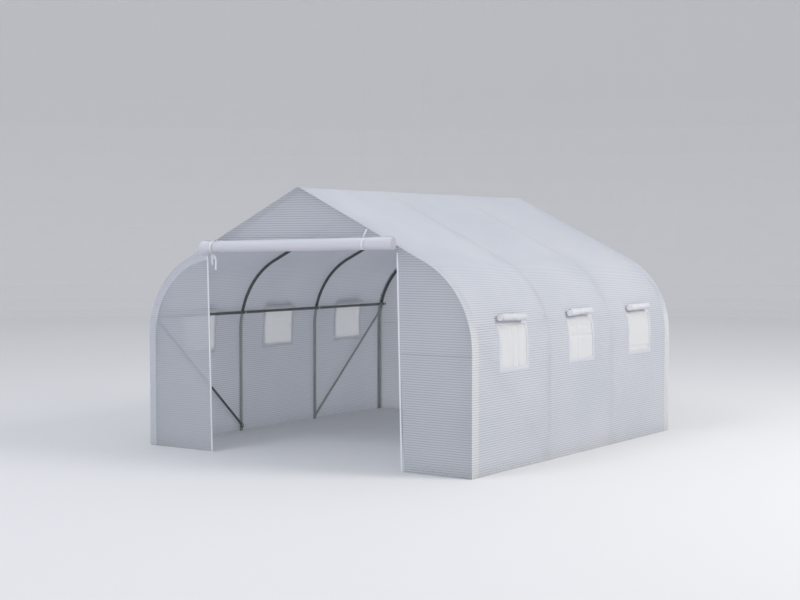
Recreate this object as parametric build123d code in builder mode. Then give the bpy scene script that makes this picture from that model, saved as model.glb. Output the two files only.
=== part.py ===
from build123d import *
from math import asin, cos, degrees, pi, radians, sin, sqrt, tan
import os

os.makedirs("parts", exist_ok=True)

# Polytunnel greenhouse, in millimetres. +X is to the right, +Y to the back, +Z up.
# The front end, with the doorway, faces -Y. The origin is on the ground in the middle.

# Overall sizes of the covered tunnel
width = 3000
length = 3160
wall_height = 855
shoulder_radius = 680
roof_slope = 26
ridge_radius = 60

# Cover film and its fit on the frame
film_thickness = 2
film_clearance = 0.3

# Sides that round outlines are drawn with, in each quarter of the outline
tube_quarter_sides = 2
roll_quarter_sides = 5

# Steel hoops and rails
bays = 3
hoop_setback = 58
tube_diameter = 25
tube_wall = 1
tube_clearance = 0.3
rail_height = 1018
rail_overrun = 24

# Reduced tube ends that plug the hoops together
spigot_length = 50
spigot_clearance = 0.2
spigot_wall = 1.2
neck_length = 3
ridge_arm = 110

# Braces in the end bays, with their ends squeezed flat and drilled
brace_diameter = 20
brace_wall = 1
brace_clearance = 0.3
brace_drop = 36
brace_foot_height = 45
brace_tab_length = 32
brace_squeeze = 42
brace_hole = 6.5

# Doorway in the front end: both its edges lean to the right towards the ground
door_width = 1770
door_lean = 38
gable_height = 445
welt_width = 8
welt_depth = 6
welt_gap = 4

# Rolled-up door and its two straps
door_roll_diameter = 95
door_roll_inset = 8
door_roll_lift = 25
strap_width = 16
strap_thickness = 1
strap_clearance = 0.3
strap_rise = 62
left_strap_inset = 85
right_strap_inset = 240

# Three windows in each side, one in the middle of each bay, with their rolled flaps
window_width = 400
window_sill = 705
window_head = 1050
screen_thickness = 1
window_roll_diameter = 55
window_roll_length = 385
window_roll_rise = 20
window_roll_shift = 25
window_tie_shift = 20

# Outline of the cover, seen from the front
half_width = width / 2
bend_angle = 90 - roof_slope
shoulder_x = half_width - shoulder_radius
slope_x = shoulder_x + shoulder_radius * cos(radians(bend_angle))
slope_z = wall_height + shoulder_radius * sin(radians(bend_angle))
crown_x = ridge_radius * sin(radians(roof_slope))
crown_z = slope_z + (slope_x - crown_x) * tan(radians(roof_slope))
crown_centre_z = crown_z - ridge_radius * cos(radians(roof_slope))
door_height = crown_centre_z + ridge_radius - gable_height

# Line of the hoops, inside the cover
tube_radius = tube_diameter / 2
tube_bore = tube_radius - tube_wall
hoop_inset = film_thickness + film_clearance + tube_radius
hoop_x = half_width - hoop_inset
hoop_bend = shoulder_radius - hoop_inset
hoop_crown = ridge_radius - hoop_inset
joint_angle = degrees(asin((rail_height - wall_height) / hoop_bend))
spigot_radius = tube_bore - spigot_clearance

# Places along the tunnel, with the origin under the middle of everything, the roll included
door_roll_radius = door_roll_diameter / 2
strap_radius = door_roll_radius + strap_clearance + strap_thickness
front_y = (strap_clearance + 2 * strap_radius - length) / 2
rear_y = front_y + length
hoop_step = (length - 2 * hoop_setback) / bays
hoop_places = [front_y + hoop_setback + bay * hoop_step for bay in range(bays + 1)]
window_places = [hoop_y + hoop_step / 2 for hoop_y in hoop_places[:-1]]
sides = {"left": -1, "right": 1}


def across(side, y):
    """Upright plane across the tunnel: its own x runs out to that side, and its y runs up."""
    return Plane(origin=(0, y, 0), x_dir=(side, 0, 0), z_dir=(0, -side, 0))


def shoulder_point(radius, angle):
    """Point that many degrees up the shoulder's curve, from where it leaves the wall."""
    return (
        shoulder_x + radius * cos(radians(angle)),
        wall_height + radius * sin(radians(angle)),
    )


def shoulder_arc(radius, start_angle, end_angle):
    """Stretch of the shoulder's curve, upwards."""
    return CenterArc((shoulder_x, wall_height), radius, start_angle, end_angle - start_angle)


def angle_at(radius, height):
    """How far up the shoulder's curve a height lies, in degrees."""
    return degrees(asin((height - wall_height) / radius))


def crown_arc(radius):
    """The ridge's curve on one side, from the roof slope up to the middle."""
    return CenterArc((0, crown_centre_z), radius, bend_angle, roof_slope)


def arm_end(reach):
    """Point on the hoop's line, that far down the slope from the ridge's curve."""
    crown_end_x = hoop_crown * sin(radians(roof_slope))
    crown_end_z = crown_centre_z + hoop_crown * cos(radians(roof_slope))
    return (
        crown_end_x + reach * cos(radians(roof_slope)),
        crown_end_z - reach * sin(radians(roof_slope)),
    )


def flat_sided(quarter_sides, reach_x, reach_y):
    """Corners of an outline that has a flat facing each way along x and y, at those reaches."""
    half_side = pi / (4 * quarter_sides)
    angles = [half_side * (2 * corner + 1) for corner in range(4 * quarter_sides)]
    corner_reach = 1 / cos(half_side)
    return [(reach_x * corner_reach * cos(a), reach_y * corner_reach * sin(a)) for a in angles]


def tube_outline(radius, mode=Mode.ADD):
    """Outline of a tube or of its bore."""
    return Polygon(*flat_sided(tube_quarter_sides, radius, radius), align=None, mode=mode)


def roll_outline(radius, mode=Mode.ADD):
    """Outline of rolled film, or of a strap's loop round it."""
    return Polygon(*flat_sided(roll_quarter_sides, radius, radius), align=None, mode=mode)


def tube_section(plane, radius, wall):
    """Ring of a tube's wall, on a plane across the tube."""
    with BuildSketch(plane) as ring:
        tube_outline(radius)
        tube_outline(radius - wall, mode=Mode.SUBTRACT)
    return ring.sketch


def sweep_tube(path, radius, wall):
    """Tube of a hoop along the path that was just drawn, which lies across the tunnel."""
    start_plane = Plane(origin=path @ 0, x_dir=(0, 1, 0), z_dir=path % 0)
    sweep(sections=tube_section(start_plane, radius, wall), path=path)


def straight_tube(start, end, radius, wall, seat):
    """Straight tube between two points, with a flat of it towards the seat's direction."""
    axis = Vector(*end) - Vector(*start)
    start_plane = Plane(origin=start, x_dir=seat, z_dir=axis)
    extrude(tube_section(start_plane, radius, wall), amount=axis.length)


def save(builder, node):
    """Labels a finished piece and writes it under its node's name."""
    builder.part.label = node
    export_step(builder.part, f"parts/{node}.step")


# Hoop legs: upright, then into the first part of the bend, up to the joint at the side rail
for number, hoop_y in enumerate(hoop_places, start=1):
    for side_name, side in sides.items():
        with BuildPart() as leg:
            with BuildLine(across(side, hoop_y)) as leg_line:
                Line((hoop_x, 0), (hoop_x, wall_height))
                shoulder_arc(hoop_bend, 0, joint_angle)
            sweep_tube(leg_line.wire(), tube_radius, tube_wall)
        save(leg, f"hoop_{number}_{side_name}_leg")

# Hoop ribs: the rest of the bend and the roof slope, with a reduced end that plugs into the leg
spigot_angle = degrees(spigot_length / hoop_bend)
neck_angle = degrees(neck_length / hoop_bend)
neck_wall = tube_radius - spigot_radius + spigot_wall
for number, hoop_y in enumerate(hoop_places, start=1):
    for side_name, side in sides.items():
        plane = across(side, hoop_y)
        with BuildPart() as rib:
            with BuildLine(plane) as rib_line:
                shoulder_arc(hoop_bend, joint_angle, bend_angle)
                Line(shoulder_point(hoop_bend, bend_angle), arm_end(ridge_arm))
            sweep_tube(rib_line.wire(), tube_radius, tube_wall)
            with BuildLine(plane) as neck_line:
                shoulder_arc(hoop_bend, joint_angle, joint_angle + neck_angle)
            sweep_tube(neck_line.wire(), tube_radius, neck_wall)
            with BuildLine(plane) as spigot_line:
                shoulder_arc(hoop_bend, joint_angle - spigot_angle, joint_angle)
            sweep_tube(spigot_line.wire(), spigot_radius, spigot_wall)
        save(rib, f"hoop_{number}_{side_name}_rib")

# Ridge elbows: a short bent tube at the top of each hoop, plugged into both ribs
with BuildPart() as ridge_elbows:
    for hoop_y in hoop_places:
        with BuildLine(Plane.XZ.offset(-hoop_y)) as elbow_line:
            Line(arm_end(ridge_arm), arm_end(0))
            crown_arc(hoop_crown)
            mirror(about=Plane.YZ)
        sweep_tube(elbow_line.wire(), tube_radius, tube_wall)
        for side in sides.values():
            with BuildLine(across(side, hoop_y)) as elbow_neck_line:
                Line(arm_end(ridge_arm), arm_end(ridge_arm - neck_length))
            sweep_tube(elbow_neck_line.wire(), tube_radius, neck_wall)
            with BuildLine(across(side, hoop_y)) as elbow_spigot_line:
                Line(arm_end(ridge_arm), arm_end(ridge_arm + spigot_length))
            sweep_tube(elbow_spigot_line.wire(), spigot_radius, spigot_wall)
save(ridge_elbows, "ridge_elbows")

# Side rails and ridge rail, running the length of the tunnel on the inside of the hoops
rail_offset = tube_diameter + tube_clearance
rail_start = hoop_places[0] - rail_overrun
rail_end = hoop_places[-1] + rail_overrun
rail_x, rail_z = shoulder_point(hoop_bend - rail_offset, joint_angle)
for side_name, side in sides.items():
    start = (side * rail_x, rail_start, rail_z)
    end = (side * rail_x, rail_end, rail_z)
    seat = (side * cos(radians(joint_angle)), 0, sin(radians(joint_angle)))
    with BuildPart() as side_rail:
        straight_tube(start, end, tube_radius, tube_wall, seat)
    save(side_rail, f"{side_name}_side_rail")

# The ridge rail's upper flat fits under the elbows' curve, where the flat's two edges touch first
seat_radius = hoop_crown - tube_radius - tube_clearance
flat_half_width = tube_radius * tan(pi / (4 * tube_quarter_sides))
ridge_rail_z = crown_centre_z + sqrt(seat_radius**2 - flat_half_width**2) - tube_radius
with BuildPart() as ridge_rail:
    start = (0, rail_start, ridge_rail_z)
    end = (0, rail_end, ridge_rail_z)
    straight_tube(start, end, tube_radius, tube_wall, seat=(0, 0, 1))
save(ridge_rail, "ridge_rail")

# Braces: from the rail at each end hoop down to the foot of the next hoop. Each end is squeezed
# flat, so it gets as wide as the tube's wall allows, and lies on the inside of its hoop.
brace_radius = brace_diameter / 2
tab_half_thickness = brace_wall
tab_half_width = pi * (brace_diameter - brace_wall) / 4
tab_offset = tube_radius + brace_clearance + tab_half_thickness
head_radius = hoop_bend - tab_offset
head_angle = angle_at(head_radius, rail_z - brace_drop)
head_x, head_z = shoulder_point(head_radius, head_angle)
foot_x = hoop_x - tab_offset
brace_hoops = {
    "front": (hoop_places[0], hoop_places[1]),
    "rear": (hoop_places[-1], hoop_places[-2]),
}


def squeezed_taper(round_end, flat_end):
    """Solid between two outlines with as many corners each, closed round its sides by triangles."""
    faces = [Face(Wire.make_polygon(round_end)), Face(Wire.make_polygon(flat_end))]
    for corner in range(len(round_end)):
        near_round, near_flat = round_end[corner - 1], flat_end[corner - 1]
        far_round, far_flat = round_end[corner], flat_end[corner]
        faces.append(Face(Wire.make_polygon([near_round, far_round, near_flat])))
        faces.append(Face(Wire.make_polygon([far_round, far_flat, near_flat])))
    return Solid(Shell(faces))


def add_brace_end(bolt, axis, outwards, seat):
    """Taper and drilled tab of one brace end; the axis points out of the tube, past the bolt."""
    reach = (axis - seat * axis.dot(seat)).normalized()
    tube_end = bolt - axis * (brace_tab_length / 2 + brace_squeeze)
    tube_plane = Plane(origin=tube_end, x_dir=outwards, z_dir=axis)
    tab_plane = Plane(origin=bolt - reach * brace_tab_length / 2, x_dir=seat, z_dir=reach)
    round_corners = flat_sided(tube_quarter_sides, brace_radius, brace_radius)
    tab_corners = flat_sided(tube_quarter_sides, tab_half_thickness, tab_half_width)
    add(
        squeezed_taper(
            [tube_plane.from_local_coords(corner) for corner in round_corners],
            [tab_plane.from_local_coords(corner) for corner in tab_corners],
        )
    )
    with BuildSketch(tab_plane) as tab:
        Polygon(*tab_corners, align=None)
    extrude(tab.sketch, amount=brace_tab_length)
    with BuildSketch(Plane(origin=bolt, z_dir=seat)) as bolt_hole:
        tube_outline(brace_hole / 2)
    extrude(bolt_hole.sketch, amount=brace_diameter, both=True, mode=Mode.SUBTRACT)
    return tube_end


for end_name, (head_y, foot_y) in brace_hoops.items():
    for side_name, side in sides.items():
        head = Vector(side * head_x, head_y, head_z)
        foot = Vector(side * foot_x, foot_y, brace_foot_height)
        axis = (head - foot).normalized()
        outwards = Vector(side, 0, 0)
        head_seat = Vector(side * cos(radians(head_angle)), 0, sin(radians(head_angle)))
        with BuildPart() as brace:
            top = add_brace_end(head, axis, outwards, head_seat)
            bottom = add_brace_end(foot, -axis, outwards, outwards)
            straight_tube(bottom, top, brace_radius, brace_wall, outwards)
        save(brace, f"{end_name}_{side_name}_brace")

# Side walls of film: upright sheets with the lower part of the three windows cut out
window_height = window_head - window_sill
window_middle = (window_sill + window_head) / 2
for side_name, side in sides.items():
    with BuildPart() as wall_film:
        with BuildSketch(across(side, front_y)):
            with Locations((half_width - film_thickness / 2, wall_height / 2)):
                Rectangle(film_thickness, wall_height)
        extrude(amount=length, dir=(0, 1, 0))
        with BuildSketch(Plane.YZ.offset(side * half_width)):
            with Locations([(window_y, window_middle) for window_y in window_places]):
                Rectangle(window_width, window_height)
        extrude(amount=film_thickness, both=True, mode=Mode.SUBTRACT)
    save(wall_film, f"{side_name}_wall_film")

# Shoulders of film: the curved sheets between wall and roof, with the windows' upper part
for side_name, side in sides.items():
    with BuildPart() as shoulder_film:
        with BuildSketch(across(side, front_y)):
            with BuildLine():
                outer = shoulder_arc(shoulder_radius, 0, bend_angle)
                inner = shoulder_arc(shoulder_radius - film_thickness, 0, bend_angle)
                Line(outer @ 0, inner @ 0)
                Line(outer @ 1, inner @ 1)
            make_face()
        extrude(amount=length, dir=(0, 1, 0))
        with BuildSketch(Plane.YZ.offset(side * shoulder_x)):
            with Locations([(window_y, window_middle) for window_y in window_places]):
                Rectangle(window_width, window_height)
        extrude(amount=side * shoulder_radius, mode=Mode.SUBTRACT)
    save(shoulder_film, f"{side_name}_shoulder_film")

# Roof film: the two slopes, which meet over the rounded ridge
for side_name, side in sides.items():
    with BuildPart() as roof_film:
        with BuildSketch(across(side, front_y)):
            with BuildLine():
                top = crown_arc(ridge_radius)
                under = crown_arc(ridge_radius - film_thickness)
                eave_top = shoulder_point(shoulder_radius, bend_angle)
                eave_under = shoulder_point(shoulder_radius - film_thickness, bend_angle)
                Polyline(top @ 0, eave_top, eave_under, under @ 0)
                Line(top @ 1, under @ 1)
            make_face()
        extrude(amount=length, dir=(0, 1, 0))
    save(roof_film, f"{side_name}_roof_film")


def end_outline():
    """Face that fills the tunnel's end, inside the film of its walls and roof."""
    with BuildLine() as outline:
        Line((0, 0), (half_width - film_thickness, 0))
        Line((half_width - film_thickness, 0), (half_width - film_thickness, wall_height))
        shoulder_arc(shoulder_radius - film_thickness, 0, bend_angle)
        under = crown_arc(ridge_radius - film_thickness)
        Line(shoulder_point(shoulder_radius - film_thickness, bend_angle), under @ 0)
        mirror(about=Plane.YZ)
    make_face(outline.edges())


# Front end of film: a panel each side of the doorway, and the gable over it
door_half = door_width / 2
for side_name, side in sides.items():
    edge_foot = door_half + side * door_lean
    edge_points = [(door_half, crown_z), (door_half, door_height), (edge_foot, 0)]
    with BuildPart() as front_panel:
        with BuildSketch(across(side, front_y)):
            end_outline()
            with BuildLine():
                Polyline(*edge_points, (half_width, 0), (half_width, crown_z), close=True)
            make_face(mode=Mode.INTERSECT)
        extrude(amount=film_thickness, dir=(0, 1, 0))
    save(front_panel, f"front_{side_name}_panel")

with BuildPart() as front_gable:
    with BuildSketch(across(1, front_y)):
        end_outline()
        with Locations((0, door_height)):
            Rectangle(door_width, crown_z, align=(Align.CENTER, Align.MIN), mode=Mode.INTERSECT)
    extrude(amount=film_thickness, dir=(0, 1, 0))
save(front_gable, "front_gable_panel")

# Rear end of film, in one closed panel
with BuildPart() as rear_panel:
    with BuildSketch(across(1, rear_y - film_thickness)):
        end_outline()
    extrude(amount=film_thickness, dir=(0, 1, 0))
save(rear_panel, "rear_end_panel")

# Welts: the thick sewn edges down both sides of the doorway, up to just under the roll
door_roll_z = door_height + door_roll_lift
welt_top = door_roll_z - door_roll_radius - welt_gap
welt_line = door_half - welt_width / 2
edge_rise = Vector(-door_lean, 0, door_height)
with BuildPart() as door_welts:
    with BuildSketch(Plane.XY):
        with Locations([(side * welt_line + door_lean, front_y) for side in sides.values()]):
            Rectangle(welt_width, welt_depth)
        chamfer(vertices(), welt_depth / 4)
    extrude(amount=edge_rise.length * welt_top / door_height, dir=edge_rise.normalized())
save(door_welts, "door_welts")


# Rolled-up door, along the front under the gable
roll_y = front_y - strap_clearance - strap_radius
roll_half = door_half - door_roll_inset
with BuildPart() as door_roll:
    with BuildSketch(Plane.YZ):
        with Locations((roll_y, door_roll_z)):
            roll_outline(door_roll_radius)
    extrude(amount=roll_half, both=True)
save(door_roll, "door_roll")

# Door straps: each goes round the roll and up the front end that it is sewn to, under the roof
strap_back = front_y - strap_clearance
strap_bore = door_roll_radius + strap_clearance
strap_places = [left_strap_inset - door_half, door_half - right_strap_inset]
with BuildPart() as door_straps:
    for strap_x in strap_places:
        roof_z = crown_z - (abs(strap_x) + strap_width / 2 - crown_x) * tan(radians(roof_slope))
        strap_top = min(door_roll_z + door_roll_radius + strap_rise, roof_z - 2 * film_thickness)
        with BuildSketch(Plane.YZ.offset(strap_x)):
            with Locations((roll_y, door_roll_z)):
                roll_outline(strap_radius)
                roll_outline(strap_bore, mode=Mode.SUBTRACT)
            with Locations((strap_back, door_roll_z)):
                Rectangle(strap_thickness, strap_top - door_roll_z, align=(Align.MAX, Align.MIN))
        extrude(amount=strap_width / 2, both=True)
save(door_straps, "door_straps")

# Window screens: netting in each window, which follows the cover's curve
screen_face = half_width - (film_thickness - screen_thickness) / 2
screen_outer = screen_face - shoulder_x
screen_inner = screen_outer - screen_thickness
for side_name, side in sides.items():
    with BuildPart() as screens:
        for window_y in window_places:
            with BuildSketch(across(side, window_y - window_width / 2)):
                with BuildLine():
                    outer = shoulder_arc(screen_outer, 0, angle_at(screen_outer, window_head))
                    inner = shoulder_arc(screen_inner, 0, angle_at(screen_inner, window_head))
                    sill_outer = (shoulder_x + screen_outer, window_sill)
                    sill_inner = (shoulder_x + screen_inner, window_sill)
                    Polyline(outer @ 0, sill_outer, sill_inner, inner @ 0)
                    Line(outer @ 1, inner @ 1)
                make_face()
            extrude(amount=window_width, dir=(0, 1, 0))
    save(screens, f"{side_name}_window_screens")

# Rolled window flaps, over the head of each window, and the tie round each
window_roll_radius = window_roll_diameter / 2
tie_bore = window_roll_radius + strap_clearance
tie_radius = tie_bore + strap_thickness
window_roll_z = window_head + window_roll_rise
roll_line = shoulder_radius + strap_clearance + tie_radius
window_roll_x = shoulder_point(roll_line, angle_at(roll_line, window_roll_z))[0]
for side_name, side in sides.items():
    with BuildPart() as window_rolls:
        for window_y in window_places:
            with BuildSketch(across(side, window_y - window_roll_shift)):
                with Locations((window_roll_x, window_roll_z)):
                    roll_outline(window_roll_radius)
            extrude(amount=window_roll_length / 2, both=True)
    save(window_rolls, f"{side_name}_window_rolls")

    with BuildPart() as window_ties:
        for window_y in window_places:
            with BuildSketch(across(side, window_y - window_tie_shift)):
                with Locations((window_roll_x, window_roll_z)):
                    roll_outline(tie_radius)
                    roll_outline(tie_bore, mode=Mode.SUBTRACT)
            extrude(amount=strap_width / 2, both=True)
    save(window_ties, f"{side_name}_window_ties")
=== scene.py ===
from math import asin, cos, exp, pi, radians, sin, sqrt, tan

import bmesh
import bpy
from mathutils import Matrix, Vector, noise
from mathutils.geometry import intersect_point_line


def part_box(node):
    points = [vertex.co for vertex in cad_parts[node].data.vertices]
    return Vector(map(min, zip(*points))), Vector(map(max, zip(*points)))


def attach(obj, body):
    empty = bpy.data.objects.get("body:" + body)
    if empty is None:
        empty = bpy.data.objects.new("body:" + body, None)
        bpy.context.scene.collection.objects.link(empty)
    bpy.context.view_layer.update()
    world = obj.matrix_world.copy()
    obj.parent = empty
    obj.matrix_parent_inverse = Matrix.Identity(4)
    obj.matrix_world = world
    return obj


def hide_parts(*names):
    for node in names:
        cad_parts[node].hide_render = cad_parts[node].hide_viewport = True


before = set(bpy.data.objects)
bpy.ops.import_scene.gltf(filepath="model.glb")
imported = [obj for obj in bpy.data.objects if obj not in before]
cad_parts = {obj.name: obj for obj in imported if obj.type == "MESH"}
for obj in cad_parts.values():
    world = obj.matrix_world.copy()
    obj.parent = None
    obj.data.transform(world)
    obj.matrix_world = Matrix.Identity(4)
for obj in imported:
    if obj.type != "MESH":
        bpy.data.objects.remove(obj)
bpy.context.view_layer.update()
print("frame:", len(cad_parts), "nodes")


# Places that the frame gives: the cover's outside, the hoops and the doorway
wallLow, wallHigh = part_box("right_wall_film")
frontY, rearY = wallLow.y, wallHigh.y
halfWidth, wallHeight = wallHigh.x, wallHigh.z
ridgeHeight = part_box("right_roof_film")[1].z
hoopCount = 4
legBoxes = [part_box(f"hoop_{number}_right_leg") for number in range(1, hoopCount + 1)]
hoopPlaces = [(low.y + high.y) / 2 for low, high in legBoxes]
tubeRadius = (legBoxes[0][1].y - legBoxes[0][0].y) / 2
hoopX = legBoxes[0][1].x - tubeRadius
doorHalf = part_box("front_gable_panel")[1].x
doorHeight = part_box("front_gable_panel")[0].z
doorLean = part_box("front_left_panel")[1].x + doorHalf   # both door edges lean to the right at the foot
sideSigns = {"left": -1, "right": 1}

tunnel = {
    "roofSlope": radians(26),
    "shoulderRadius": 0.68,
    "ridgeRadius": 0.06,
    "roofSag": 0.008,
    "wallSag": 0.0025,
    "ripple": 0.0012,
    "ridgeHold": 0.6,     # share of the sag that the ridge takes away, fading over this distance
    "ridgeReach": 0.12,
}


def arcPoint(x, z, radius, turn):   # the turn is measured from upright
    return Vector((x + radius * sin(turn), z + radius * cos(turn)))


slope = tunnel["roofSlope"]
shoulderX = halfWidth - tunnel["shoulderRadius"]
crownCentre = ridgeHeight - tunnel["ridgeRadius"]
crownEnd = arcPoint(0, crownCentre, tunnel["ridgeRadius"], slope)
eavePoint = arcPoint(shoulderX, wallHeight, tunnel["shoulderRadius"], slope)
crownRun = tunnel["ridgeRadius"] * slope
slopeRun = (eavePoint - crownEnd).length
shoulderRun = tunnel["shoulderRadius"] * (pi / 2 - slope)
outlineRun = crownRun + slopeRun + shoulderRun + wallHeight   # from the ridge down to the wall's foot


# Point of the cover's outline at a distance down from the ridge, and the way out from it
def outlinePoint(run):
    side = -1 if run < 0 else 1
    left = abs(run)
    if left < crownRun:
        turn = left / tunnel["ridgeRadius"]
        point = arcPoint(0, crownCentre, tunnel["ridgeRadius"], turn)
    elif left < crownRun + slopeRun:
        turn = slope
        point = crownEnd + (left - crownRun) * Vector((cos(slope), -sin(slope)))
    elif left < outlineRun - wallHeight:
        turn = slope + (left - crownRun - slopeRun) / tunnel["shoulderRadius"]
        point = arcPoint(shoulderX, wallHeight, tunnel["shoulderRadius"], turn)
    else:
        turn = pi / 2
        point = Vector((halfWidth, outlineRun - left))
    return Vector((side * point.x, 0, point.y)), Vector((side * sin(turn), 0, cos(turn)))


# How far the film hangs in between two hoops; it is tight over each hoop and at the ends
def sagAt(run, y, wayOut):
    for hoopStart, hoopEnd in zip(hoopPlaces, hoopPlaces[1:]):
        if hoopStart < y < hoopEnd:
            share = (y - hoopStart) / (hoopEnd - hoopStart)
            hang = 4 * share * (1 - share)
            depth = tunnel["wallSag"] + (tunnel["roofSag"] - tunnel["wallSag"]) * abs(wayOut.z) ** 2
            depth *= 1 - tunnel["ridgeHold"] * exp(-(run / tunnel["ridgeReach"]) ** 2)
            ripple = tunnel["ripple"] * noise.noise(Vector((y * 2.3, run * 1.7, 3.1)))
            return hang * (depth + ripple)
    return 0


def coverPoint(run, y, lift=0):
    point, wayOut = outlinePoint(run)
    point.y = y
    return point + wayOut * (lift - sagAt(run, y, wayOut))


# Modelling helpers: only the pieces at work are selected, and the first of them is active
def clearSelection():
    if bpy.context.object and bpy.context.object.mode != "OBJECT":
        bpy.ops.object.mode_set(mode="OBJECT")
    bpy.ops.object.select_all(action="DESELECT")


def pickPieces(*pieces):
    clearSelection()
    for piece in pieces:
        piece.select_set(True)
    bpy.context.view_layer.objects.active = pieces[0]


def joinPieces(*pieces):
    pickPieces(*pieces)
    bpy.ops.object.join()
    return pieces[0]


def openPiece(piece):
    pickPieces(piece)
    bpy.ops.object.mode_set(mode="EDIT")
    bpy.ops.mesh.select_all(action="SELECT")


def startPiece(name, addShape, **sizes):
    clearSelection()
    addShape(**sizes)
    piece = bpy.context.object
    piece.name = piece.data.name = name
    bpy.ops.object.transform_apply(location=True, rotation=True, scale=True)
    openPiece(piece)
    return piece


# Takes away the faces whose middles lie in the opening
def cutOpening(piece, inOpening):
    bpy.ops.mesh.select_mode(type="FACE")
    bpy.ops.mesh.select_all(action="DESELECT")
    shape = bmesh.from_edit_mesh(piece.data)
    for face in shape.faces:
        face.select_set(inOpening(face.calc_center_median()))
    bmesh.update_edit_mesh(piece.data)
    bpy.ops.mesh.delete(type="FACE")


def applyModifier(piece, kind, **values):
    pickPieces(piece)
    modifier = piece.modifiers.new(kind.lower(), kind)
    for key, value in values.items():
        setattr(modifier, key, value)
    bpy.ops.object.modifier_apply(modifier=modifier.name)


def recalculate(piece):
    openPiece(piece)
    bpy.ops.mesh.remove_doubles(threshold=0.00001)
    bpy.ops.mesh.select_all(action="SELECT")
    bpy.ops.mesh.normals_make_consistent(inside=False)
    clearSelection()


def copyPiece(piece, name, shift=(0, 0, 0), mirrored=False):
    double = piece.copy()
    double.data = piece.data.copy()
    double.name = double.data.name = name
    bpy.context.scene.collection.objects.link(double)
    if mirrored:
        double.data.transform(Matrix.Scale(-1, 4, (1, 0, 0)))
        double.data.flip_normals()
    double.data.transform(Matrix.Translation(shift))
    return double


def seatOn(spot, wayOut):   # moves the origin to the spot, and turns z the way out
    return Matrix.Translation(spot) @ wayOut.to_track_quat("Z", "Y").to_matrix().to_4x4()


# Draws the piece's map in metres, from where its points lie
def drawMap(mesh, mapSpot):
    flatMap = mesh.uv_layers.active
    for corner in mesh.loops:
        flatMap.data[corner.index].uv = mapSpot(mesh.vertices[corner.vertex_index].co)


def dress(piece, material, nodes=(), smoothAngle=40):
    pickPieces(piece)
    piece.data.materials.clear()
    piece.data.materials.append(material)
    bpy.ops.object.shade_smooth_by_angle(angle=radians(smoothAngle))
    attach(piece, "root")
    if nodes:
        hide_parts(*nodes)


# Shader helpers: a socket is linked to its input, and a number or colour is set there
def setInputs(tree, node, inputs):
    for key, value in inputs.items():
        if isinstance(value, bpy.types.NodeSocket):
            tree.links.new(value, node.inputs[key])
        else:
            node.inputs[key].default_value = value


def addNode(tree, kind, inputs=None, **settings):
    node = tree.nodes.new(kind)
    for key, value in settings.items():
        setattr(node, key, value)
    setInputs(tree, node, inputs or {})
    return node


def mathNode(tree, operation, first, second=0.0, third=0.0):
    inputs = {0: first, 1: second, 2: third}
    return addNode(tree, "ShaderNodeMath", inputs, operation=operation).outputs[0]


def smoothStep(tree, value, low, high, outLow=0.0, outHigh=1.0):
    inputs = {"Value": value, "From Min": low, "From Max": high, "To Min": outLow, "To Max": outHigh}
    return addNode(tree, "ShaderNodeMapRange", inputs, interpolation_type="SMOOTHSTEP").outputs["Result"]


def mixColour(tree, share, first, second):
    inputs = {0: share, 6: first, 7: second}
    return addNode(tree, "ShaderNodeMix", inputs, data_type="RGBA").outputs[2]


# A group takes a vector and these values, and puts out plain values.
# What a group, a coordinates node and a split vector give is handed on as their outputs
def newGroup(name, values, outputs):
    tree = bpy.data.node_groups.new(name, "ShaderNodeTree")
    tree.interface.new_socket(name="Vector", in_out="INPUT", socket_type="NodeSocketVector")
    for socketName, value in values.items():
        socket = tree.interface.new_socket(name=socketName, in_out="INPUT", socket_type="NodeSocketFloat")
        socket.default_value = value
    for socketName in outputs:
        tree.interface.new_socket(name=socketName, in_out="OUTPUT", socket_type="NodeSocketFloat")
    return tree, tree.nodes.new("NodeGroupInput").outputs, tree.nodes.new("NodeGroupOutput")


# Ribs of the woven film run along x of the map, and its threads cross both ways
def makeRibbedWeave():
    look = {"ribFades": (1.6, 0.4), "threadHeight": 0.25}   # in half widths and heights of a rib
    pitches = {"Rib Pitch": 0.017, "Rib Width": 0.3, "Thread Pitch": 0.0034}
    tree, given, made = newGroup("ribbedWeave", pitches, ["Rib", "Thread", "Height"])
    axes = addNode(tree, "ShaderNodeSeparateXYZ", {0: given["Vector"]}).outputs
    turn = mathNode(tree, "FRACT", mathNode(tree, "DIVIDE", axes["Y"], given["Rib Pitch"]))
    away = mathNode(tree, "ABSOLUTE", mathNode(tree, "SUBTRACT", turn, 0.5))
    ribEdge = mathNode(tree, "MULTIPLY", given["Rib Width"], 0.5)
    rib = smoothStep(tree, mathNode(tree, "DIVIDE", away, ribEdge), *look["ribFades"])
    waves = []
    for axis in ("X", "Y"):
        angle = mathNode(tree, "DIVIDE", axes[axis], given["Thread Pitch"])
        waves.append(mathNode(tree, "SINE", mathNode(tree, "MULTIPLY", angle, 2 * pi)))
    thread = mathNode(tree, "MULTIPLY_ADD", mathNode(tree, "MULTIPLY", *waves), 0.5, 0.5)
    height = mathNode(tree, "MULTIPLY_ADD", thread, look["threadHeight"], rib)
    setInputs(tree, made, {"Rib": rib, "Thread": thread, "Height": height})
    return tree


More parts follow.
